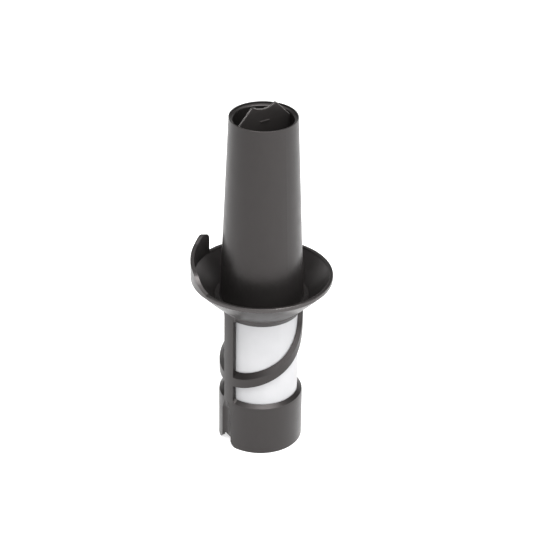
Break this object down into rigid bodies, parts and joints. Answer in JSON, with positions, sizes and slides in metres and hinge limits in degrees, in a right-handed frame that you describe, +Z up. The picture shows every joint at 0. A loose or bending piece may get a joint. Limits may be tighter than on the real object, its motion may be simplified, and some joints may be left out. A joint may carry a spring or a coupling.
{
  "type": "plug-in exhaust muffler cartridge",
  "caption": "Tapered silencer stack standing in a drip bowl with a thumb tab, over a ported cage with a fine screen and a keyed plug that takes the exhaust nozzle.",
  "frame": {"origin": "centre of the plug's bottom face, which is also the lowest point", "axes": "+Z up along the axis towards the mouth; the post with the key groove is on -Y and the other post is on +Y; the thumb tab stands on the -X -Y side"},
  "size_m": [0.072, 0.072, 0.1897],
  "materials": {
    "charcoal_plastic": "satin warm grey-black moulded plastic",
    "dark_plastic": "darker satin moulded plastic",
    "blade_plastic": "satin moulded plate with a finely ribbed edge",
    "screen_fabric": "fine white woven monofilament",
    "white_plastic": "white moulded plastic",
    "felt": "pressed fibre felt",
    "rubber": "black nitrile rubber",
    "spring_steel": "oiled spring steel"
  },
  "bodies": {
    "cage": {"screen_cage": "charcoal_plastic", "catch_bowl": "charcoal_plastic", "hub_gasket": "rubber", "inlet_socket": "dark_plastic", "inlet_seal": "rubber", "seal_retainer": "dark_plastic", "retaining_ring": "spring_steel", "inlet_grille": "dark_plastic"},
    "stack": {"stack_shell": "charcoal_plastic", "stack_liner": "dark_plastic", "packing_lower": "felt", "packing_upper": "felt", "foot_adapter": "charcoal_plastic", "foot_o_ring": "rubber", "screen_mesh": "screen_fabric", "screen_top_band": "white_plastic", "screen_bottom_band": "white_plastic", "screen_core": "white_plastic"},
    "blade": {"splitter_blade": "blade_plastic", "blade_ring": "blade_plastic"}
  },
  "joints": [
    {"name": "stack_lift", "type": "slide", "parent": "cage", "child": "stack", "axis": [0, 0, 1], "range_m": [0, 0.08]},
    {"name": "blade_pull", "type": "slide", "parent": "stack", "child": "blade", "axis": [0, 0, 1], "range_m": [0, 0.062]}
  ]
}
